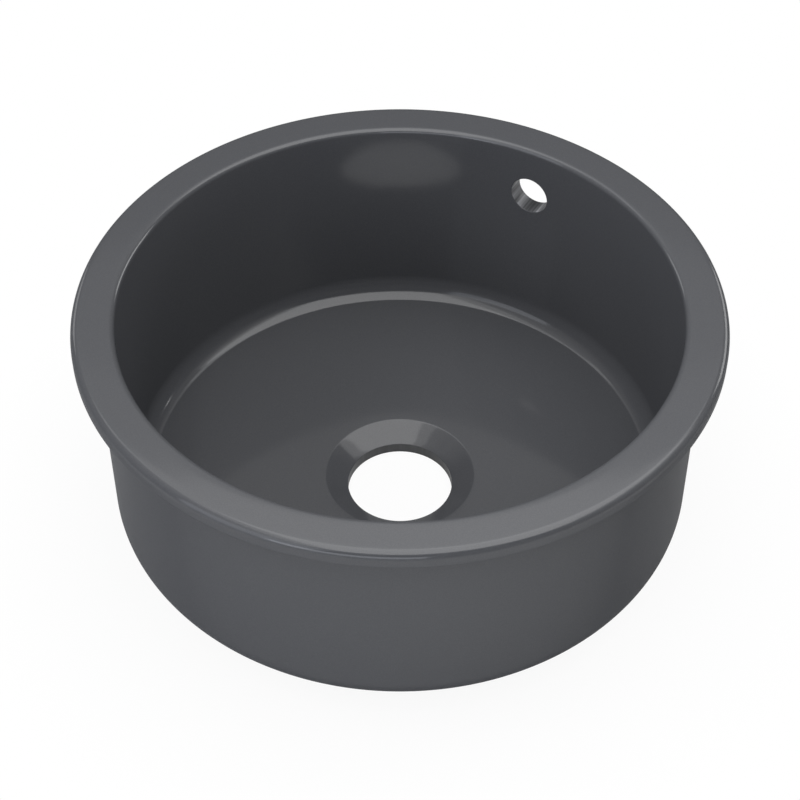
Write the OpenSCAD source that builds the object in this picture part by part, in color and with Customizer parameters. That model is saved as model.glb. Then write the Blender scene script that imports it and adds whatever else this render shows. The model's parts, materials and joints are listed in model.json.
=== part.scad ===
// Round undermount kitchen sink: a moulded bowl with a ring-shaped rim, and the clips stowed under the rim.
// Millimetres, +Z up. The origin is the centre of the outlet's foot, and the overflow faces +Y.

/* [Basin] */
// Inside diameter of the basin
basin_d = 451; // [400:1:500]
// Thickness of the basin wall
wall_t = 16.5; // [10:0.5:20]
// Depth from the top of the rim to the outer edge of the floor
floor_depth = 189.3; // [150:0.1:230]
// How far the floor's edge stands in from the wall
floor_inset = 12.6; // [8:0.1:16]
// Radius of the inside corner between wall and floor
inner_corner_r = 23; // [18:0.5:32]
// Radius of the outside corner at the bottom of the wall
outer_corner_r = 24; // [16:0.5:36]
// Thickness of the floor
floor_t = 9.8; // [8:0.1:14]
// Fall of the floor from its edge to the waste recess
floor_fall = 7.5; // [4:0.5:12]

/* [Rim] */
// How far the rim stands out past the wall
rim_overhang = 18; // [17:0.5:30]
// Thickness of the rim
rim_t = 13.5; // [13:0.5:20]
// Radius on the rim's upper outer edge
rim_edge_r = 6.5; // [2:0.5:8]
// Radius on the rim's lower outer edge
rim_under_r = 1; // [0.5:0.1:2]
// Radius where the rim turns down into the basin
rim_lip_r = 4.7; // [1:0.1:6]
// Radius in the corner between the rim's underside and the wall
rim_root_r = 2; // [1:0.1:2.5]

/* [Waste outlet] */
// Diameter of the waste bore
waste_d = 90; // [80:1:100]
// Diameter of the recess round the bore, at the floor
recess_d = 128; // [116:1:140]
// Depth of the recess below the floor
recess_h = 11.8; // [8:0.1:16]
// Length of the straight bore under the recess
throat_l = 9.4; // [8:0.1:20]
// Radius on the recess's upper edge
recess_edge_r = 4; // [1:0.5:6]
// Radius between the recess and the bore
throat_edge_r = 0.6; // [0.3:0.1:1.5]
// Diameter of the outlet's foot under the floor
foot_d = 156; // [150:1:180]
// Radius on the foot's lower edge
foot_edge_r = 3; // [1:0.5:5]
// Radius in the corner between the foot and the underside
foot_root_r = 6; // [2:0.5:10]

/* [Overflow] */
// Diameter of the overflow hole
overflow_d = 35; // [25:1:45]
// Depth from the top of the rim to the centre of the overflow hole
overflow_drop = 48.7; // [40:0.1:80]

/* [Threaded insert] */
// Outside diameter of the insert
insert_d = 8; // [7:0.1:9]
// Length of the insert
insert_l = 8; // [6:0.5:9]
// Gap between the insert and its hole, filled with adhesive
insert_gap = 0.05; // [0.02:0.01:0.2]
// Free depth of the hole past the insert and the screw
insert_tip_gap = 1; // [0.5:0.1:1.5]
// Width of each locking groove round the insert
groove_w = 1.2; // [0.8:0.1:1.5]
// Depth of each locking groove
groove_h = 0.4; // [0.2:0.1:0.6]

/* [Clip screw] */
// Diameter of the screw's thread
screw_d = 5; // [4:0.5:5]
// Length of the screw under its head
screw_l = 12; // [11:0.5:13]
// Diameter of the button head
head_d = 9.5; // [8.5:0.1:10]
// Height of the button head
head_h = 2.8; // [2.6:0.1:3.4]
// Height of the head's domed crown
head_crown_h = 2.2; // [1.2:0.1:2.4]
// Gap between the screw and the insert's thread
thread_gap = 0.05; // [0.02:0.01:0.1]
// Bevel at the screw's tip
tip_bevel = 0.6; // [0.3:0.1:0.9]
// Width across the cross recess
drive_w = 5; // [4:0.1:5.5]
// Depth of the cross recess
drive_h = 2; // [1.5:0.1:2.2]
// Width of each slot of the cross recess
drive_slot_w = 1; // [0.8:0.1:1.2]

/* [Washers] */
// Outside diameter of the plain washer
washer_d = 10; // [9:0.1:11]
// Thickness of the plain washer
washer_t = 1; // [0.8:0.1:1.5]
// Outside diameter of the spring washer
spring_d = 9.2; // [8.5:0.1:10]
// Thickness of the spring washer
spring_t = 1.2; // [1:0.1:1.5]
// Gap between the screw and the washers
washer_gap = 0.15; // [0.05:0.05:0.25]
// Width of the spring washer's split
split_w = 0.8; // [0.5:0.1:1.5]
// Slant of the spring washer's split, in degrees
split_slant = 25; // [10:5:40]

/* [Fixing clip] */
// Width of the clip
clip_w = 11; // [10.5:0.1:12]
// Thickness of the clip
clip_t = 2; // [1.5:0.1:2.5]
// Distance from the pivot to the centre of the clip's round end
clip_l = 38; // [34:0.5:42]
// Gap between the stowed clip's pivot end and the wall
clip_wall_gap = 2.5; // [2.3:0.1:4]
// How far the stowed clip turns in from the rim's tangent, in degrees
clip_stow_a = 4; // [0:0.5:5]
// Running gap above and below the clip
clip_play = 0.1; // [0.05:0.05:0.3]
// Radial running gap round the pivot
pivot_gap = 0.08; // [0.05:0.01:0.1]
// Width of the slot for the hanger bolt
slot_w = 5.5; // [4.5:0.1:6.5]
// Length of the slot, end to end
slot_l = 12; // [10:0.5:14]
// Metal left past the slot's end
slot_margin = 4; // [3:0.5:5]
// Width of the stiffening bead
bead_w = 3; // [2:0.1:4]
// Height of the stiffening bead
bead_h = 0.8; // [0.5:0.1:1]
// Length of the straight part of the bead
bead_l = 12; // [8:0.5:14]
// Distance from the pivot to the start of the bead's straight part
bead_start = 9.5; // [9:0.1:11]

/* [Hidden] */
$fn = 96;

// The four fixing points, counted anticlockwise from above
rear_right = 0;
rear_left = 1;
front_left = 2;
front_right = 3;
fixings = [rear_right, rear_left, front_left, front_right];
first_fixing_angle = 45;

// How far a cutting shape runs past the surface that it cuts
overrun = 1;
// How far a round stands past the sides that it is tangent to, so that it always crosses them
tangent_overlap = 0.0005;

// Radii, from the sink's axis
wall_r = basin_d / 2;
outer_r = wall_r + wall_t;
rim_r = outer_r + rim_overhang;
floor_edge_r = wall_r - floor_inset;
recess_r = recess_d / 2;
waste_r = waste_d / 2;
foot_r = foot_d / 2;
fixing_r = outer_r + clip_wall_gap + clip_w / 2;

// Heights, from the outlet's foot up
throat_top = throat_l;
recess_top = throat_top + recess_h;
floor_edge_z = recess_top + floor_fall;
rim_top = floor_edge_z + floor_depth;
rim_under = rim_top - rim_t;

// Slopes of the floor and of the recess
floor_a = atan(floor_fall / (floor_edge_r - recess_r));
recess_a = atan(recess_h / (recess_r - waste_r));
function floor_z(r) = recess_top + (r - recess_r) * tan(floor_a);
function under_z(r) = floor_z(r) - floor_t;

// Centre of the inside corner's round, which meets the floor at its edge
inner_corner = [wall_r - inner_corner_r,
    floor_edge_z + sqrt(inner_corner_r ^ 2 - (inner_corner_r - floor_inset) ^ 2)];
// Centre of the outside corner's round, which is tangent to the wall and to the underside
outer_corner = [outer_r - outer_corner_r,
    under_z(outer_r - outer_corner_r) + outer_corner_r / cos(floor_a)];
outer_tangent = outer_corner + outer_corner_r * [sin(floor_a), -cos(floor_a)];

// Directions in the profile: out along the floor, and down along the recess
along_floor = [cos(floor_a), sin(floor_a)];
down_recess = [-cos(recess_a), -sin(recess_a)];
out = [1, 0];
in = [-1, 0];
up = [0, 1];
down = [0, -1];

// The stack under the rim, from its underside down
clip_top = -clip_play;
washer_top = clip_top - clip_t - clip_play;
spring_top = washer_top - washer_t;
head_top = spring_top - spring_t;
screw_tip = head_top + screw_l;
insert_hole_h = max(insert_l, screw_tip) + insert_tip_gap;

// Sphere that the head's crown is cut from
crown_r = (head_d ^ 2 / 4 + head_crown_h ^ 2) / (2 * head_crown_h);

// Centre of the round that is tangent to both sides of a corner at p, whose sides run along d1 and d2
function round_centre(p, d1, d2, r) =
    p + (d1 + d2) / norm(d1 + d2) * r / sin(acos(d1 * d2) / 2);

// The block between a corner and its round's centre, which runs on past both sides of the corner
module corner_block(p, d1, d2, r) {
    reach = r / tan(acos(d1 * d2) / 2);
    t1 = p + d1 * reach;
    t2 = p + d2 * reach;
    polygon([t1 - d2 * overrun, t1, round_centre(p, d1, d2, r), t2, t2 - d1 * overrun,
        p - (d1 + d2) * overrun]);
}

// The round itself, as its full circle
module corner_round(p, d1, d2, r) {
    translate(round_centre(p, d1, d2, r)) circle(r + tangent_overlap);
}

// What a sharp outer corner loses to its round
module corner_sliver(p, d1, d2, r) {
    difference() {
        corner_block(p, d1, d2, r);
        corner_round(p, d1, d2, r);
    }
}

// Half section of the bowl as if it were solid
module outer_profile() {
    rim_root = [outer_r, rim_under];
    foot_root = [foot_r, under_z(foot_r)];
    difference() {
        union() {
            translate([0, rim_under]) square([rim_r, rim_t]);
            translate([0, outer_corner.y]) square([outer_r, rim_under - outer_corner.y + overrun]);
            translate(outer_corner) circle(outer_corner_r);
            polygon([[0, under_z(0)], outer_tangent, outer_corner, [0, outer_corner.y]]);
            square(foot_root);
            corner_block(rim_root, down, out, rim_root_r);
            corner_block(foot_root, down, along_floor, foot_root_r);
        }
        corner_round(rim_root, down, out, rim_root_r);
        corner_round(foot_root, down, along_floor, foot_root_r);
        corner_sliver([rim_r, rim_top], in, down, rim_edge_r);
        corner_sliver([rim_r, rim_under], in, up, rim_under_r);
        corner_sliver([foot_r, 0], in, up, foot_edge_r);
    }
}

// Half section of the basin, its waste recess and its bore
module basin_profile() {
    translate([0, inner_corner.y]) square([wall_r, rim_top - inner_corner.y + overrun]);
    intersection() {
        union() {
            translate(inner_corner) circle(inner_corner_r);
            square(inner_corner);
        }
        polygon([[0, floor_z(0)], [wall_r, floor_z(wall_r)], [wall_r, rim_top], [0, rim_top]]);
    }
    polygon([[0, throat_top], [waste_r, throat_top], [recess_r, recess_top], [0, recess_top]]);
    translate([0, -overrun]) square([waste_r, throat_top + overrun]);
    corner_sliver([wall_r, rim_top], out, down, rim_lip_r);
    corner_sliver([recess_r, recess_top], along_floor, down_recess, recess_edge_r);
    corner_sliver([waste_r, throat_top], -down_recess, down, throat_edge_r);
}

// A fixing point: X runs out from the sink's axis, and Z = 0 is the rim's underside
module at_fixing(i) {
    rotate([0, 0, first_fixing_angle + i * 360 / len(fixings)])
        translate([fixing_r, 0, rim_under]) children();
}

// A flat ring whose top is at the given height
module ring(outer_d, hole_d, top, thickness) {
    translate([0, 0, top - thickness]) difference() {
        cylinder(d = outer_d, h = thickness);
        translate([0, 0, -overrun]) cylinder(d = hole_d, h = thickness + 2 * overrun);
    }
}

// An outline with round ends, running along Y from one centre to the other
module round_ended(width, from, to) {
    translate([0, from]) circle(d = width);
    translate([-width / 2, from]) square([width, to - from]);
    translate([0, to]) circle(d = width);
}

module bowl() {
    color("#5a5b5e") difference() {
        rotate_extrude() difference() {
            outer_profile();
            basin_profile();
        }
        translate([0, wall_r - wall_t, rim_top - overflow_drop])
            rotate([-90, 0, 0]) cylinder(d = overflow_d, h = 2 * wall_t + overrun);
        for (i = fixings) at_fixing(i)
            translate([0, 0, -overrun]) cylinder(d = insert_d + 2 * insert_gap, h = insert_hole_h + overrun);
    }
}

module threaded_insert(i) {
    color("#b8923f") at_fixing(i) difference() {
        cylinder(d = insert_d, h = insert_l);
        translate([0, 0, -overrun]) cylinder(d = screw_d + 2 * thread_gap, h = insert_l + 2 * overrun);
        for (share = [1 / 3, 2 / 3]) translate([0, 0, insert_l * share - groove_w / 2])
            difference() {
                cylinder(d = insert_d + 2 * overrun, h = groove_w);
                cylinder(d = insert_d - 2 * groove_h, h = groove_w);
            }
    }
}

// The bead pressed into the clip: a round bar with ball ends, sunk so that only its height shows
module bead(top, r) {
    translate([0, bead_start, top]) {
        rotate([-90, 0, 0]) cylinder(r = r, h = bead_l);
        sphere(r);
        translate([0, bead_l, 0]) sphere(r);
    }
}

module fixing_clip(i) {
    bead_r = (bead_w ^ 2 / 4 + bead_h ^ 2) / (2 * bead_h);
    slot_end = clip_l + clip_w / 2 - slot_margin - slot_w / 2;
    slot_start = slot_end - slot_l + slot_w;
    clip_under = clip_top - clip_t;
    color("#b4b8bc") at_fixing(i) rotate([0, 0, clip_stow_a]) difference() {
        union() {
            translate([0, 0, clip_under]) linear_extrude(clip_t) round_ended(clip_w, 0, clip_l);
            intersection() {
                bead(clip_under + bead_r - bead_h, bead_r);
                translate([0, 0, clip_under - bead_h]) linear_extrude(clip_t) round_ended(clip_w, 0, clip_l);
            }
        }
        bead(clip_top + bead_r - bead_h, bead_r);
        translate([0, 0, clip_under - bead_h - overrun])
            linear_extrude(clip_t + bead_h + 2 * overrun) {
                circle(d = screw_d + 2 * pivot_gap);
                round_ended(slot_w, slot_start, slot_end);
            }
    }
}

module plain_washer(i) {
    color("#c4c7ca") at_fixing(i) ring(washer_d, screw_d + 2 * washer_gap, washer_top, washer_t);
}

module spring_washer(i) {
    color("#8f9498") at_fixing(i) difference() {
        ring(spring_d, screw_d + 2 * washer_gap, spring_top, spring_t);
        translate([spring_d / 2, 0, spring_top - spring_t / 2]) rotate([split_slant, 0, 0])
            cube([spring_d, split_w, 3 * spring_t], center = true);
    }
}

module clip_screw(i) {
    color("#a9adb1") at_fixing(i) difference() {
        union() {
            translate([0, 0, head_top]) cylinder(d = screw_d, h = screw_l - tip_bevel);
            translate([0, 0, screw_tip - tip_bevel])
                cylinder(d1 = screw_d, d2 = screw_d - 2 * tip_bevel, h = tip_bevel);
            intersection() {
                translate([0, 0, head_top - head_h]) cylinder(d = head_d, h = head_h);
                translate([0, 0, head_top - head_h + crown_r]) sphere(crown_r);
            }
        }
        translate([0, 0, head_top - head_h]) intersection() {
            cylinder(d1 = drive_w, d2 = drive_slot_w, h = drive_h);
            for (turn = [0, 90]) rotate([0, 0, turn])
                cube([drive_w, drive_slot_w, 3 * drive_h], center = true);
        }
    }
}

bowl();
threaded_insert(rear_right);  // threaded_insert_rear_right
threaded_insert(rear_left);  // threaded_insert_rear_left
threaded_insert(front_left);  // threaded_insert_front_left
threaded_insert(front_right);  // threaded_insert_front_right
fixing_clip(rear_right);  // fixing_clip_rear_right
fixing_clip(rear_left);  // fixing_clip_rear_left
fixing_clip(front_left);  // fixing_clip_front_left
fixing_clip(front_right);  // fixing_clip_front_right
plain_washer(rear_right);  // plain_washer_rear_right
plain_washer(rear_left);  // plain_washer_rear_left
plain_washer(front_left);  // plain_washer_front_left
plain_washer(front_right);  // plain_washer_front_right
spring_washer(rear_right);  // spring_washer_rear_right
spring_washer(rear_left);  // spring_washer_rear_left
spring_washer(front_left);  // spring_washer_front_left
spring_washer(front_right);  // spring_washer_front_right
clip_screw(rear_right);  // clip_screw_rear_right
clip_screw(rear_left);  // clip_screw_rear_left
clip_screw(front_left);  // clip_screw_front_left
clip_screw(front_right);  // clip_screw_front_right
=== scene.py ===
import json
import math

import bmesh
import bpy
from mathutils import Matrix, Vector


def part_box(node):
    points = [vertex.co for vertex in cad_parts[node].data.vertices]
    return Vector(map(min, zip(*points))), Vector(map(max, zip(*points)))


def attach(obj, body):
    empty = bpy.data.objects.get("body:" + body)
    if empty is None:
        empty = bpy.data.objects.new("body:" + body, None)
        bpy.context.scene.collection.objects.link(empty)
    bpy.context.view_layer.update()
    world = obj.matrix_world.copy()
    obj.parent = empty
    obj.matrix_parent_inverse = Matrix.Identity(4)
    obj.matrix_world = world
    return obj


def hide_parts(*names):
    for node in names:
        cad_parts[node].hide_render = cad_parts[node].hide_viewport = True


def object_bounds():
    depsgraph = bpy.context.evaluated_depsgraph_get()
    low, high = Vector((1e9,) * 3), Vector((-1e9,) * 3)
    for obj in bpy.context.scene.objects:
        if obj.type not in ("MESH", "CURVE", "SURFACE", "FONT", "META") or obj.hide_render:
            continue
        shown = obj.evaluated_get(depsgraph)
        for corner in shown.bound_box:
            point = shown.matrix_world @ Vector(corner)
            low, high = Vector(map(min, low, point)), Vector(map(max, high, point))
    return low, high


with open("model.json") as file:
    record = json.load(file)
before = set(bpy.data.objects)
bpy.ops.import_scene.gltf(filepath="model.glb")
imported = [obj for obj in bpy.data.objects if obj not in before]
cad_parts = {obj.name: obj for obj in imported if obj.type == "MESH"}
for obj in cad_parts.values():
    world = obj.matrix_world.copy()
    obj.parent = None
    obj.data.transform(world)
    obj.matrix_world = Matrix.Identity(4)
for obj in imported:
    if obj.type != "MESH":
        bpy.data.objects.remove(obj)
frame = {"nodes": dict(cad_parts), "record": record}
cad_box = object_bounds()

MM = 0.001

# Places that the frame gives, in millimetres
rim_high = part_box("bowl")[1]
RIM_R = rim_high[0] / MM
RIM_TOP = rim_high[2] / MM
MOUNTS = {mount["name"]: mount for mount in frame["record"]["mounts"]}
WASTE_R = MOUNTS["waste_outlet"]["dims"]["r_mm"]
OVERFLOW_R = MOUNTS["overflow_hole"]["dims"]["r_mm"]
OVERFLOW_Z = MOUNTS["overflow_hole"]["pos_m"][2] / MM

# Camera: it stands 30 degrees to the right of the sink's front and looks down at the bowl
CAMERA_AZIMUTH = math.radians(30.3)
CAMERA_ELEVATION = math.radians(42.409)
CAMERA_DISTANCE = 1525.8 * MM
CAMERA_PITCH = math.radians(45.257)
CAMERA_LENS = 86.63


def around_sink(azimuth, elevation, distance):
    """A point seen from the rim's centre: azimuth 0 is the front, and it grows towards the right."""
    return Vector((distance * math.sin(azimuth) * math.cos(elevation),
                   -distance * math.cos(azimuth) * math.cos(elevation),
                   RIM_TOP * MM + distance * math.sin(elevation)))


camera = bpy.data.objects.new("camera", bpy.data.cameras.new("camera"))
bpy.context.scene.collection.objects.link(camera)
camera.data.lens = CAMERA_LENS
camera.data.sensor_width = 36
camera.data.clip_start = 0.01
camera.data.clip_end = 60
camera.location = around_sink(CAMERA_AZIMUTH, CAMERA_ELEVATION, CAMERA_DISTANCE)
camera.rotation_euler = (math.radians(90) - CAMERA_PITCH, 0, CAMERA_AZIMUTH)
bpy.context.scene.camera = camera
bpy.context.scene.view_settings.view_transform = "Standard"

# Materials

# Sizes of the patterns, in metres
QUARTZ_GRAIN = 0.9 * MM
MOULD_CLOUD = 70 * MM
# The bores' streaks: their relief is the drill's, and their light and dark tones are painted reflection and
# shade
DRILL_AND_PAINTED_SHEEN_STREAK = 5 * MM
PLATING_STREAK = 0.4 * MM
TARNISH_PATCH = 3 * MM
# About three lathe rings fit in this length
LATHE_RINGS = 3 * MM
# Roughness of the moulded sheen, in its glossiest and its dullest clouds
MOULD_SHEEN = (0.09, 0.11)
# Layer Weight's Facing, 0 square on and 1 edge on, where the gloss begins to be muted and where it is most
MUTED_FROM, MUTED_TO = 0.33, 0.62
MUTED_MOST = 0.75


def colour(hex_code):
    """sRGB hex to linear red, green, blue and alpha."""
    parts = [int(hex_code[i:i + 2], 16) / 255 for i in (1, 3, 5)]
    return [c / 12.92 if c <= 0.04045 else ((c + 0.055) / 1.055) ** 2.4 for c in parts] + [1]


def add(tree, kind, sockets=None, **settings):
    """Adds a node, and sets its settings and its sockets: a socket takes a value or another node's output."""
    node = tree.nodes.new(kind)
    for name, value in settings.items():
        setattr(node, name, value)
    for name, value in (sockets or {}).items():
        if isinstance(value, bpy.types.NodeSocket):
            tree.links.new(value, node.inputs[name])
        else:
            node.inputs[name].default_value = value
    return node


def new_material(name):
    """An empty material, with its node tree."""
    material = bpy.data.materials.new(name)
    material.use_nodes = True
    material.node_tree.nodes.clear()
    return material, material.node_tree


def ramp(tree, factor, *stops):
    """Colours between (position, hex) stops."""
    node = add(tree, "ShaderNodeValToRGB", {"Fac": factor})
    elements = node.color_ramp.elements
    while len(elements) < len(stops):
        elements.new(1)
    for element, (position, hex_code) in zip(elements, stops):
        element.position = position
        element.color = colour(hex_code)
    return node.outputs["Color"]


def moulded_quartz():
    """Moulded quartz and acrylic resin, self-coloured graphite.

    The eye gets a dark neutral grey with a silky, almost even sheen from the mould, and from close by
    the fine quartz grain, a little lighter and darker than the resin. The grain is 0.3 mm in life and is
    drawn at 0.9 mm, so that it shows at all. It also mutes the gloss at a low angle, so that the wall
    doesn't brighten towards its sides.
    """
    material, tree = new_material("moulded_quartz_composite")
    place = add(tree, "ShaderNodeTexCoord").outputs["Object"]
    grain = add(tree, "ShaderNodeTexNoise",
                {"Vector": place, "Scale": 1 / QUARTZ_GRAIN, "Detail": 2.0, "Roughness": 0.6}).outputs[0]
    clouds = add(tree, "ShaderNodeTexNoise",
                 {"Vector": place, "Scale": 1 / MOULD_CLOUD, "Detail": 1.0}).outputs[0]
    tone = ramp(tree, grain, (0.30, "#46474a"), (0.50, "#494a4d"), (0.72, "#4d4e51"))
    sheen = add(tree, "ShaderNodeMapRange",
                {"Value": clouds, "From Min": 0.3, "From Max": 0.7,
                 "To Min": MOULD_SHEEN[0], "To Max": MOULD_SHEEN[1]})
    facing = add(tree, "ShaderNodeLayerWeight", {"Blend": 0.5}).outputs["Facing"]
    muted = add(tree, "ShaderNodeMapRange",
                {"Value": facing, "From Min": MUTED_FROM, "From Max": MUTED_TO,
                 "To Min": 0.0, "To Max": MUTED_MOST})
    relief = add(tree, "ShaderNodeBump", {"Height": grain, "Strength": 0.05, "Distance": 0.01 * MM})
    shader = add(tree, "ShaderNodeBsdfPrincipled",
                 {"Base Color": tone, "Roughness": sheen.outputs["Result"], "IOR": 1.5,
                  "Normal": relief.outputs["Normal"]})
    matt = add(tree, "ShaderNodeBsdfDiffuse", {"Color": tone})
    surface = add(tree, "ShaderNodeMixShader",
                  {0: muted.outputs["Result"], 1: shader.outputs["BSDF"], 2: matt.outputs["BSDF"]})
    add(tree, "ShaderNodeOutputMaterial", {"Surface": surface.outputs["Shader"]})
    return material


def drilled_quartz_painted_light(name, along, dark, middle, light):
    """The same composite where a hole was drilled through it after moulding.

    The eye gets a duller surface, with light and dark streaks along the hole, 5 mm wide: their relief is
    the drill's, and their tones are painted light that each hole is given, painted reflections in the
    overflow bore and painted shade in the waste bore. Along is (x, y, z) with a small number for the
    hole's axis and 1 for the others.
    """
    material, tree = new_material(name)
    place = add(tree, "ShaderNodeTexCoord").outputs["Object"]
    stretched = add(tree, "ShaderNodeVectorMath", {0: place, 1: along}, operation="MULTIPLY").outputs[0]
    streaks = add(tree, "ShaderNodeTexNoise",
                  {"Vector": stretched, "Scale": 1 / DRILL_AND_PAINTED_SHEEN_STREAK,
                   "Detail": 2.0, "Roughness": 0.6}).outputs[0]
    # Painted light: the streaks' tones, given per hole, paint reflections along the overflow bore and shade
    # in the waste bore's throat
    tone = ramp(tree, streaks, (0.36, dark), (0.50, middle), (0.66, light))
    relief = add(tree, "ShaderNodeBump", {"Height": streaks, "Strength": 0.3, "Distance": 0.05 * MM})
    shader = add(tree, "ShaderNodeBsdfPrincipled",
                 {"Base Color": tone, "Roughness": 0.38, "IOR": 1.5, "Normal": relief.outputs["Normal"]})
    add(tree, "ShaderNodeOutputMaterial", {"Surface": shader.outputs["BSDF"]})
    return material


def plated_steel(name, light, dark, roughness, patch):
    """Stamped or turned steel with a thin zinc plating, cold and slightly cloudy.

    The eye gets a bluish light metal whose brightness changes softly in patches of a few millimetres,
    with fine streaks that blur its highlights.
    """
    material, tree = new_material(name)
    place = add(tree, "ShaderNodeTexCoord").outputs["Object"]
    clouds = add(tree, "ShaderNodeTexNoise",
                 {"Vector": place, "Scale": 1 / patch, "Detail": 3.0, "Roughness": 0.55}).outputs[0]
    streaks = add(tree, "ShaderNodeTexNoise",
                  {"Vector": place, "Scale": 1 / PLATING_STREAK, "Detail": 2.0}).outputs[0]
    tone = ramp(tree, clouds, (0.35, dark), (0.65, light))
    spread = add(tree, "ShaderNodeMapRange",
                 {"Value": clouds, "To Min": roughness - 0.06, "To Max": roughness + 0.06})
    relief = add(tree, "ShaderNodeBump", {"Height": streaks, "Strength": 0.15, "Distance": 0.02 * MM})
    shader = add(tree, "ShaderNodeBsdfPrincipled",
                 {"Base Color": tone, "Metallic": 1.0, "Roughness": spread.outputs["Result"],
                  "Normal": relief.outputs["Normal"]})
    add(tree, "ShaderNodeOutputMaterial", {"Surface": shader.outputs["BSDF"]})
    return material


def turned_brass():
    """Turned brass, dulled by a thin tarnish.

    The eye gets a warm yellow metal with fine rings from the lathe and browner patches between them.
    """
    material, tree = new_material("turned_brass")
    place = add(tree, "ShaderNodeTexCoord").outputs["Object"]
    tarnish = add(tree, "ShaderNodeTexNoise",
                  {"Vector": place, "Scale": 1 / TARNISH_PATCH, "Detail": 3.0}).outputs[0]
    rings = add(tree, "ShaderNodeTexWave",
                {"Vector": place, "Scale": 1 / LATHE_RINGS, "Distortion": 0.3}, bands_direction="Z")
    tone = ramp(tree, tarnish, (0.35, "#a98347"), (0.65, "#cfa65a"))
    relief = add(tree, "ShaderNodeBump",
                 {"Height": rings.outputs["Fac"], "Strength": 0.2, "Distance": 0.02 * MM})
    shader = add(tree, "ShaderNodeBsdfPrincipled",
                 {"Base Color": tone, "Metallic": 1.0, "Roughness": 0.34,
                  "Normal": relief.outputs["Normal"]})
    add(tree, "ShaderNodeOutputMaterial", {"Surface": shader.outputs["BSDF"]})
    return material


# The bowl

# The source's sizes, in millimetres
OVERHANG = 18
WALL_T = 16.5
RIM_T = 13.5
RIM_EDGE_R = 6.5
RIM_UNDER_R = 1
RIM_ROOT_R = 2
LIP_R = 4.7
FLOOR_DEPTH = 189.3
FLOOR_INSET = 12.6
FLOOR_FALL = 7.5
FLOOR_T = 9.8
CORNER_R = 23
OUTER_CORNER_R = 24
RECESS_R = 64
THROAT_TOP = 9.4
RECESS_EDGE_R = 4
THROAT_EDGE_R = 0.6
FOOT_R = 78
FOOT_EDGE_R = 3
FOOT_ROOT_R = 6
INSERT_GAP = 0.05
INSERT_TIP_GAP = 1

OUTER_R = RIM_R - OVERHANG
WALL_R = OUTER_R - WALL_T
RIM_UNDER = RIM_TOP - RIM_T
FLOOR_EDGE = (WALL_R - FLOOR_INSET, RIM_TOP - FLOOR_DEPTH)
RECESS_TOP = FLOOR_EDGE[1] - FLOOR_FALL
FLOOR_SLOPE = math.atan2(FLOOR_FALL, FLOOR_EDGE[0] - RECESS_R)

# The fixings, measured from one of the threaded inserts
FIXING_ANGLES = (45, 135, 225, 315)
insert_low, insert_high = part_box("threaded_insert_rear_right")
FIXING_R = math.hypot(insert_low[0] + insert_high[0], insert_low[1] + insert_high[1]) / 2 / MM
INSERT_HOLE_R = (insert_high[0] - insert_low[0]) / 2 / MM + INSERT_GAP
INSERT_HOLE_H = (insert_high[2] - insert_low[2]) / MM + INSERT_TIP_GAP

# Softened where the floor meets the corner, and at the mouths of the overflow hole
CREASE_R = 4.5
MOUTH_R = 0.5
# Degrees of the corner's arc that the crease's rounding takes up
CREASE_CLEAR = 5

# Quads round the bowl, one to a degree
COLUMNS = 360
# Edges that turn more than this stay sharp in the shading
SHARP_ANGLE = math.radians(40)


def floor_z(r):
    """The height of the basin's sloping floor at radius r."""
    return RECESS_TOP + (r - RECESS_R) * math.tan(FLOOR_SLOPE)


def rounded(before, corner, after, radius, steps):
    """Points that round a corner of the profile, between the points before and after it."""
    corner, before, after = Vector(corner), Vector(before), Vector(after)
    d1 = (before - corner).normalized()
    d2 = (after - corner).normalized()
    half = d1.angle(d2) / 2
    centre = corner + (d1 + d2).normalized() * radius / math.sin(half)
    start = corner + d1 * radius / math.tan(half) - centre
    end = corner + d2 * radius / math.tan(half) - centre
    turn = start.angle(end)
    points = []
    for k in range(steps + 1):
        share = k / steps
        weight = (math.sin((1 - share) * turn) / math.sin(turn), math.sin(share * turn) / math.sin(turn))
        points.append(tuple(centre + start * weight[0] + end * weight[1]))
    return points


def arc(centre, radius, from_angle, to_angle, steps):
    """Points along an arc, with both its ends; the angles are in degrees."""
    angles = [math.radians(from_angle + (to_angle - from_angle) * k / steps) for k in range(steps + 1)]
    return [(centre[0] + radius * math.cos(a), centre[1] + radius * math.sin(a)) for a in angles]


def straight(start, end, steps):
    """Points between start and end, without either."""
    return [tuple(Vector(start).lerp(Vector(end), k / steps)) for k in range(1, steps)]


def levels(low, high, count):
    """Evenly spaced values from low to high, in count steps."""
    return [low + (high - low) * k / count for k in range(count + 1)]


# Round each hole a block of the grid is left out: so many rows, up to this far on either side of the
# hole's centre in millimetres, and so many columns on either side of it
HOLE_ROWS = 12
OVERFLOW_HALF = 25
OVERFLOW_HALF_COLUMNS = 6
INSERT_HALF = 5.5
INSERT_HALF_COLUMNS = 2
OVERFLOW_LEVELS = levels(OVERFLOW_Z - OVERFLOW_HALF, OVERFLOW_Z + OVERFLOW_HALF, HOLE_ROWS)
INSERT_LEVELS = levels(FIXING_R + INSERT_HALF, FIXING_R - INSERT_HALF, HOLE_ROWS)
# Rings of the overflow hole's patch, as shares of the way from its mouth to the block's border
PATCH_SHARES = (0.75, 0.5, 0.28, 0.1)
# Rings of the mouth's round: turn 0 lies in the wall's face and 90 in the hole
MOUTH_TURNS = (0, 30, 60, 90)


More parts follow.
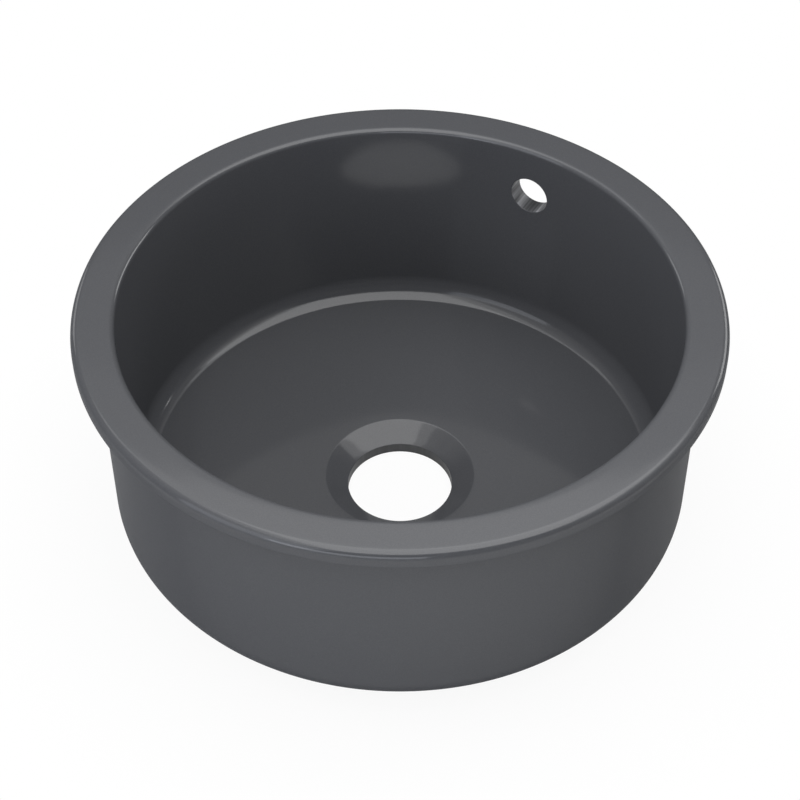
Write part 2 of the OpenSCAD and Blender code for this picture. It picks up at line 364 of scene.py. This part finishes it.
def bowl_profile():
    """The bowl's section, from the foot of the bore up the inside, over the rim and down the outside.

    The last number of each line, arc and rounding is how many steps it has.
    """
    foot = (WASTE_R, 0)
    throat = (WASTE_R, THROAT_TOP)
    recess = (RECESS_R, RECESS_TOP)
    corner_z = FLOOR_EDGE[1] + math.sqrt(CORNER_R ** 2 - (CORNER_R - FLOOR_INSET) ** 2)
    corner = (WALL_R - CORNER_R, corner_z)
    crease_angle = math.degrees(math.atan2(FLOOR_EDGE[1] - corner_z, FLOOR_EDGE[0] - corner[0]))
    past_crease = arc(corner, CORNER_R, crease_angle + CREASE_CLEAR, 0, 26)
    outer_corner_r = OUTER_R - OUTER_CORNER_R
    outer_corner_z = floor_z(outer_corner_r) - FLOOR_T + OUTER_CORNER_R / math.cos(FLOOR_SLOPE)
    foot_root = (FOOT_R, floor_z(FOOT_R) - FLOOR_T)

    points = [foot] + straight(foot, throat, 3)
    points += rounded(foot, throat, recess, THROAT_EDGE_R, 4)
    points += straight(points[-1], recess, 6)[:-1]
    points += rounded(throat, recess, FLOOR_EDGE, RECESS_EDGE_R, 6)
    crease = rounded(recess, FLOOR_EDGE, past_crease[0], CREASE_R, 6)
    points += straight(points[-1], crease[0], 18)
    points += crease
    points += past_crease
    points += straight(points[-1], (WALL_R, OVERFLOW_LEVELS[0]), 12)
    points += [(WALL_R, z) for z in OVERFLOW_LEVELS]
    points += straight(points[-1], (WALL_R, RIM_TOP - LIP_R), 4)
    points += arc((WALL_R + LIP_R, RIM_TOP - LIP_R), LIP_R, 180, 90, 14)
    points += straight(points[-1], (RIM_R - RIM_EDGE_R, RIM_TOP), 4)
    points += arc((RIM_R - RIM_EDGE_R, RIM_TOP - RIM_EDGE_R), RIM_EDGE_R, 90, 0, 16)
    points += straight(points[-1], (RIM_R, RIM_UNDER + RIM_UNDER_R), 3)
    points += arc((RIM_R - RIM_UNDER_R, RIM_UNDER + RIM_UNDER_R), RIM_UNDER_R, 0, -90, 6)
    points += [(r, RIM_UNDER) for r in INSERT_LEVELS]
    points += arc((OUTER_R + RIM_ROOT_R, RIM_UNDER - RIM_ROOT_R), RIM_ROOT_R, 90, 180, 8)
    points += straight(points[-1], (OUTER_R, OVERFLOW_LEVELS[-1]), 3)
    points += [(OUTER_R, z) for z in reversed(OVERFLOW_LEVELS)]
    points += straight(points[-1], (OUTER_R, outer_corner_z), 12)
    points += arc((outer_corner_r, outer_corner_z), OUTER_CORNER_R, 0, math.degrees(FLOOR_SLOPE) - 90, 20)
    root = rounded(points[-1], foot_root, (FOOT_R, 0), FOOT_ROOT_R, 8)
    points += straight(points[-1], root[0], 12)
    points += root
    points += arc((FOOT_R - FOOT_EDGE_R, FOOT_EDGE_R), FOOT_EDGE_R, 0, -90, 6)
    points += straight(points[-1], foot, 4)
    return points


def row_of(profile, point):
    """The profile's point nearest to the given one."""
    return min(range(len(profile)), key=lambda row: math.dist(profile[row], point))


# The bowl's surfaces, in the order of its materials
MOULDED, OVERFLOW_BORE, WASTE_BORE = range(3)


class Bowl:
    """The bowl's surface: a turned grid of quads whose round holes are set in as patches."""

    def __init__(self, profile):
        self.profile = profile
        self.mesh = bmesh.new()
        self.grid = []
        for r, z in profile:
            ring = []
            for column in range(COLUMNS):
                a = math.radians(360 * column / COLUMNS)
                ring.append(self.mesh.verts.new((r * math.cos(a) * MM, r * math.sin(a) * MM, z * MM)))
            self.grid.append(ring)
        self.left_out = set()

    def border(self, rows, columns):
        """The grid's vertices round a block: along the first row, then down the last column, and back."""
        (r0, r1), (c0, c1) = rows, columns
        step = 1 if r1 > r0 else -1
        for row in range(min(r0, r1), max(r0, r1)):
            for column in range(c0, c1):
                self.left_out.add((row, column % COLUMNS))
        corners = [(r0, c) for c in range(c0, c1)] + [(r, c1) for r in range(r0, r1, step)]
        corners += [(r1, c) for c in range(c1, c0, -1)] + [(r, c0) for r in range(r1, r0, -step)]
        return [self.grid[r][c % COLUMNS] for r, c in corners]

    def strip(self, loop, next_loop, surface=MOULDED):
        """A ring of quads between two loops of the same length."""
        count = len(loop)
        for k in range(count):
            after = (k + 1) % count
            face = self.mesh.faces.new((loop[k], loop[after], next_loop[after], next_loop[k]))
            face.material_index = surface

    def bridge(self, loops):
        """Strips from each loop to the next."""
        for loop, next_loop in zip(loops, loops[1:]):
            self.strip(loop, next_loop)

    def finish(self, name, materials):
        """Fills the rest of the grid with quads, and makes the bowl's object."""
        rows = len(self.profile)
        throat_rows = row_of(self.profile, (WASTE_R, THROAT_TOP - THROAT_EDGE_R))
        for row in range(rows):
            for column in range(COLUMNS):
                if (row, column) in self.left_out:
                    continue
                a, b = self.grid[row], self.grid[(row + 1) % rows]
                after = (column + 1) % COLUMNS
                face = self.mesh.faces.new((a[column], b[column], b[after], a[after]))
                face.material_index = WASTE_BORE if row < throat_rows else MOULDED
        loose = [v for v in self.mesh.verts if not v.link_faces]
        bmesh.ops.delete(self.mesh, geom=loose, context="VERTS")
        bmesh.ops.recalc_face_normals(self.mesh, faces=self.mesh.faces)
        data = bpy.data.meshes.new(name)
        self.mesh.to_mesh(data)
        self.mesh.free()
        data.shade_smooth()
        data.set_sharp_from_angle(angle=SHARP_ANGLE)
        for material in materials:
            data.materials.append(material)
        piece = bpy.data.objects.new(name, data)
        bpy.context.scene.collection.objects.link(piece)
        return piece


def overflow_hole(bowl):
    """The hole through the back wall, with a small round at both of its mouths."""
    middle = COLUMNS // 4
    columns = (middle - OVERFLOW_HALF_COLUMNS, middle + OVERFLOW_HALF_COLUMNS)

    def border_on(wall_r):
        rows = [row_of(bowl.profile, (wall_r, z)) for z in (OVERFLOW_LEVELS[0], OVERFLOW_LEVELS[-1])]
        return bowl.border(rows, columns)

    inner, outer = border_on(WALL_R), border_on(OUTER_R)
    # A border starts at its lower corner on the +X side and runs clockwise, as seen from the front
    angles = [math.radians(-45 - 360 * k / len(inner)) for k in range(len(inner))]

    def on_wall(x, z, wall_r, depth=0.0):
        return bowl.mesh.verts.new((x * MM, (math.sqrt(wall_r ** 2 - x ** 2) + depth) * MM, z * MM))

    def wall_loop(border, wall_r, share):
        mouth_r = OVERFLOW_R + MOUTH_R
        loop = []
        for angle, vertex in zip(angles, border):
            x = mouth_r * math.cos(angle) * (1 - share) + vertex.co.x / MM * share
            z = (OVERFLOW_Z + mouth_r * math.sin(angle)) * (1 - share) + vertex.co.z / MM * share
            loop.append(on_wall(x, z, wall_r))
        return loop

    def mouth_loop(wall_r, turn, inwards):
        """A ring on the mouth's round; inwards is 1 on the basin's side and -1 on the outside."""
        r = OVERFLOW_R + MOUTH_R * (1 - math.sin(math.radians(turn)))
        depth = MOUTH_R * (1 - math.cos(math.radians(turn))) * inwards
        return [on_wall(r * math.cos(a), OVERFLOW_Z + r * math.sin(a), wall_r, depth) for a in angles]

    inside = [inner] + [wall_loop(inner, WALL_R, share) for share in PATCH_SHARES]
    inside += [mouth_loop(WALL_R, turn, 1) for turn in MOUTH_TURNS]
    outside = [mouth_loop(OUTER_R, turn, -1) for turn in reversed(MOUTH_TURNS)]
    outside += [wall_loop(outer, OUTER_R, share) for share in reversed(PATCH_SHARES)] + [outer]
    bowl.bridge(inside)
    bowl.strip(inside[-1], outside[0], OVERFLOW_BORE)
    bowl.bridge(outside)


def insert_holes(bowl):
    """The four blind holes in the rim's underside that take the threaded inserts."""
    rows = [row_of(bowl.profile, (r, RIM_UNDER)) for r in (INSERT_LEVELS[0], INSERT_LEVELS[-1])]
    for turn in FIXING_ANGLES:
        middle = COLUMNS * turn // 360
        border = bowl.border(rows, (middle - INSERT_HALF_COLUMNS, middle + INSERT_HALF_COLUMNS))
        a = math.radians(turn)
        out, along = Vector((math.cos(a), math.sin(a), 0)), Vector((-math.sin(a), math.cos(a), 0))
        start = -360 * INSERT_HALF_COLUMNS / len(border)

        def ring(z):
            loop = []
            for k in range(len(border)):
                b = math.radians(start + 360 * k / len(border))
                place = out * (FIXING_R + INSERT_HOLE_R * math.cos(b)) + along * INSERT_HOLE_R * math.sin(b)
                loop.append(bowl.mesh.verts.new((place.x * MM, place.y * MM, z * MM)))
            return loop

        loops = [border, ring(RIM_UNDER), ring(RIM_UNDER + INSERT_HOLE_H)]
        bowl.bridge(loops)
        bowl.mesh.faces.new(loops[-1])


bowl = Bowl(bowl_profile())
overflow_hole(bowl)
insert_holes(bowl)
basin = bowl.finish("moulded_bowl", [moulded_quartz(),
                                     # The overflow bore's light and dark streaks are painted reflections,
                                     # from darker to much lighter than the composite
                                     drilled_quartz_painted_light("drilled_overflow_bore_painted_reflections", (1, 0.02, 1),
                                                    "#38393b", "#66676a", "#98999c"),
                                     # The waste bore's tones are painted shade: darker than the composite, as
                                     # in the shade of the throat
                                     drilled_quartz_painted_light("drilled_waste_bore_painted_shade", (1, 1, 0.02),
                                                    "#39393b", "#3d3e40", "#434446")])
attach(basin, "sink")
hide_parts("bowl")

# The fixings under the rim

# Their edges are broken this wide, where the surface turns more than this
BROKEN_EDGE = 0.12 * MM
BROKEN_ANGLE = math.radians(35)
FINISHES = {
    "fixing_clip": plated_steel("zinc_plated_steel_stamped", "#c3c8ce", "#a3a9b0",
                                roughness=0.36, patch=6 * MM),
    "plain_washer": plated_steel("zinc_plated_steel_washer", "#cfd2d5", "#b0b4b8",
                                 roughness=0.30, patch=3 * MM),
    "spring_washer": plated_steel("oiled_spring_steel", "#85898d", "#5f6367",
                                  roughness=0.42, patch=2 * MM),
    "clip_screw": plated_steel("zinc_plated_steel_screw", "#c8cbcd", "#9da2a7",
                               roughness=0.28, patch=3 * MM),
    "threaded_insert": turned_brass(),
}
for name, node in frame["nodes"].items():
    for kind, finish in FINISHES.items():
        if name.startswith(kind):
            node.data.materials.clear()
            node.data.materials.append(finish)
            edge = node.modifiers.new("broken_edges", "BEVEL")
            edge.width = BROKEN_EDGE
            edge.segments = 2
            edge.limit_method = "ANGLE"
            edge.angle_limit = BROKEN_ANGLE

# Studio: azimuths are in degrees from the camera, to its right, and sizes and distances in metres

# What the room's own light adds, where white is 1
ROOM_LIGHT = 0.10
# How much of the white background the gloss shows: of the room's, and of the floor's at most
ROOM_WHITE_IN_GLOSS = 0.2
FLOOR_WHITE_IN_GLOSS = 0.1
FLOOR_R = 12
FLOOR_GAP = 0.2 * MM
COOL_WHITE = "#f0f5ff"
# The overhead softbox hangs this far above the rim. Its core is the brightest, and it fades in steps
# towards its back and its sides: (where a step begins past the core's edge, where it ends, brightness).
CEILING_HEIGHT = 0.8
CORE_BACK, CORE_FRONT, CORE_LEFT, CORE_RIGHT = -0.35, 0.85, -0.3, 0.8
CORE_BRIGHTNESS = 2.6
CEILING_STEPS = ((0, 0.2, 1.3), (0.2, 0.4, 0.4), (0.4, 0.65, 0.2))
BACK_HALF_WIDTH = 0.75


def white_share(tree, direct, reflected):
    """The white background's share in what a ray meets: direct for the camera and through glass, and
    reflected in a reflection. The light that falls on the sink gets nothing from it."""
    ray = add(tree, "ShaderNodeLightPath").outputs
    seen = add(tree, "ShaderNodeMath", {0: ray["Is Camera Ray"], 1: ray["Is Transmission Ray"]},
               operation="ADD", use_clamp=True)
    seen = add(tree, "ShaderNodeMath", {0: seen.outputs[0], 1: direct}, operation="MULTIPLY")
    mirrored = add(tree, "ShaderNodeMath", {0: ray["Is Glossy Ray"], 1: reflected}, operation="MULTIPLY")
    return add(tree, "ShaderNodeMath", {0: seen.outputs[0], 1: mirrored.outputs[0]},
               operation="ADD", use_clamp=True).outputs[0]


def studio_paper():
    """Matt pale grey floor paper, which keeps the sink's shadow. The camera sees it as white as the room's
    background, but for a faint shadow: that is 7 percent of the real one under the rim, and gone at half
    the rim's radius past it. In the sink's gloss it is the grey paper with the sink's shadow on it, a
    little whiter only under the waste opening."""
    material, tree = new_material("studio_paper")
    paper = add(tree, "ShaderNodeBsdfDiffuse", {"Color": colour("#dfdfdf")})
    glow = add(tree, "ShaderNodeEmission", {"Color": colour("#ffffff"), "Strength": 1.0})
    place = add(tree, "ShaderNodeTexCoord").outputs["Object"]
    distance = add(tree, "ShaderNodeVectorMath", {0: place}, operation="LENGTH").outputs["Value"]
    direct = add(tree, "ShaderNodeMapRange",
                 {"Value": distance, "From Min": 0.95 * RIM_R * MM, "From Max": 1.5 * RIM_R * MM,
                  "To Min": 0.93, "To Max": 1.0}).outputs["Result"]
    reflected = add(tree, "ShaderNodeMapRange",
                    {"Value": distance, "From Min": 0.1 * WASTE_R * MM, "From Max": 1.2 * WASTE_R * MM,
                     "To Min": FLOOR_WHITE_IN_GLOSS, "To Max": 0.0},
                    interpolation_type="SMOOTHSTEP").outputs["Result"]
    blend = add(tree, "ShaderNodeMixShader",
                {0: white_share(tree, direct, reflected),
                 1: paper.outputs["BSDF"], 2: glow.outputs["Emission"]})
    add(tree, "ShaderNodeOutputMaterial", {"Surface": blend.outputs["Shader"]})
    return material


def black_card_felt():
    """Black felt on a card: it gives the gloss a dark gap between two lights."""
    material, tree = new_material("black_felt")
    felt = add(tree, "ShaderNodeBsdfDiffuse", {"Color": colour("#080808")})
    add(tree, "ShaderNodeOutputMaterial", {"Surface": felt.outputs["BSDF"]})
    return material


def aim(thing, place):
    """Sets a light or a card at its place, facing the rim's centre."""
    thing.location = place
    thing.rotation_euler = (Vector((0, 0, RIM_TOP * MM)) - place).to_track_quat("-Z", "Y").to_euler()


def stage_piece(name, mesh, material):
    """Makes an object of the studio, which is no part of the sink."""
    data = bpy.data.meshes.new(name)
    mesh.to_mesh(data)
    mesh.free()
    data.materials.append(material)
    piece = bpy.data.objects.new(name, data)
    bpy.context.scene.collection.objects.link(piece)
    return piece


def studio_floor():
    """A wide round sheet of paper, just under the sink."""
    mesh = bmesh.new()
    bmesh.ops.create_circle(mesh, cap_ends=True, segments=96, radius=FLOOR_R)
    floor = stage_piece("floor", mesh, studio_paper())
    floor.location.z = cad_box[0][2] - FLOOR_GAP


def black_card(name, azimuth, elevation, distance, width, height):
    """A card that only reflections see."""
    mesh = bmesh.new()
    bmesh.ops.create_grid(mesh, x_segments=1, y_segments=1, size=0.5)
    bmesh.ops.scale(mesh, vec=(width, height, 1), verts=mesh.verts)
    card = stage_piece(name, mesh, black_card_felt())
    aim(card, around_sink(CAMERA_AZIMUTH + math.radians(azimuth), math.radians(elevation), distance))
    card.visible_camera = False
    card.visible_diffuse = False
    card.visible_transmission = False
    card.visible_shadow = False


def softbox(name, width, height, brightness, tint="#ffffff"):
    """A soft light: at brightness 1 it looks as bright as white paper."""
    data = bpy.data.lights.new(name, "AREA")
    data.shape = "RECTANGLE"
    data.size, data.size_y = width, height
    data.energy = brightness * math.pi * width * height
    data.color = colour(tint)[:3]
    light = bpy.data.objects.new(name, data)
    bpy.context.scene.collection.objects.link(light)
    light.visible_camera = False
    return light


def side_softbox(name, azimuth, elevation, distance, width, height, brightness, tint="#ffffff"):
    """A softbox that faces the rim's centre; azimuth and elevation are in degrees."""
    light = softbox(name, width, height, brightness, tint)
    aim(light, around_sink(CAMERA_AZIMUTH + math.radians(azimuth), math.radians(elevation), distance))
    return light


def ceiling_softbox(name, back, front, left, right, brightness):
    """A panel that hangs level above the rim; its edges are counted from the rim's centre, as the camera
    sees them, in metres."""
    light = softbox(name, right - left, front - back, brightness)
    nearer, aside = (back + front) / 2, (left + right) / 2
    towards_camera = Vector((math.sin(CAMERA_AZIMUTH), -math.cos(CAMERA_AZIMUTH), 0))
    to_its_right = Vector((math.cos(CAMERA_AZIMUTH), math.sin(CAMERA_AZIMUTH), 0))
    light.location = towards_camera * nearer + to_its_right * aside
    light.location.z = RIM_TOP * MM + CEILING_HEIGHT
    light.rotation_euler = (0, 0, CAMERA_AZIMUTH)


def studio_world():
    """The white background, and the little light that the room gives."""
    world = bpy.data.worlds.new("studio")
    bpy.context.scene.world = world
    world.use_nodes = True
    tree = world.node_tree
    tree.nodes.clear()
    room = add(tree, "ShaderNodeBackground", {"Color": colour("#ffffff"), "Strength": ROOM_LIGHT})
    white = add(tree, "ShaderNodeBackground", {"Color": colour("#ffffff"), "Strength": 1.0})
    blend = add(tree, "ShaderNodeMixShader",
                {0: white_share(tree, 1.0, ROOM_WHITE_IN_GLOSS),
                 1: room.outputs["Background"], 2: white.outputs["Background"]})
    add(tree, "ShaderNodeOutputWorld", {"Surface": blend.outputs["Shader"]})


studio_floor()
studio_world()
black_card("front_card", azimuth=5, elevation=30, distance=2.6, width=4.0, height=0.75)
ceiling_softbox("overhead_core", CORE_BACK, CORE_FRONT, CORE_LEFT, CORE_RIGHT, CORE_BRIGHTNESS)
for inner, outer, brightness in CEILING_STEPS:
    ceiling_softbox("overhead_back", CORE_BACK - outer, CORE_BACK - inner,
                    -BACK_HALF_WIDTH, BACK_HALF_WIDTH, brightness)
    ceiling_softbox("overhead_left", CORE_BACK, CORE_FRONT, CORE_LEFT - outer, CORE_LEFT - inner, brightness)
    ceiling_softbox("overhead_right", CORE_BACK, CORE_FRONT,
                    CORE_RIGHT + inner, CORE_RIGHT + outer, brightness)
side_softbox("front_fill", azimuth=345, elevation=8, distance=2.2, width=1.8, height=0.8,
             brightness=2.0, tint=COOL_WHITE)
side_softbox("left_front_fill", azimuth=315, elevation=20, distance=2.2, width=1.6, height=1.6,
             brightness=1.2, tint=COOL_WHITE)
side_softbox("rear_right_strip", azimuth=126, elevation=14, distance=1.8, width=0.9, height=0.6,
             brightness=3.6)
side_softbox("rear_left_strip", azimuth=228, elevation=14, distance=1.8, width=0.5, height=0.6,
             brightness=2.0)
# Light that comes off the room's left wall, so the gloss shows no image of it
room_fill = side_softbox("left_room_fill", azimuth=270, elevation=34, distance=2.2, width=1.4, height=0.9,
                         brightness=4.5)
room_fill.visible_glossy = False
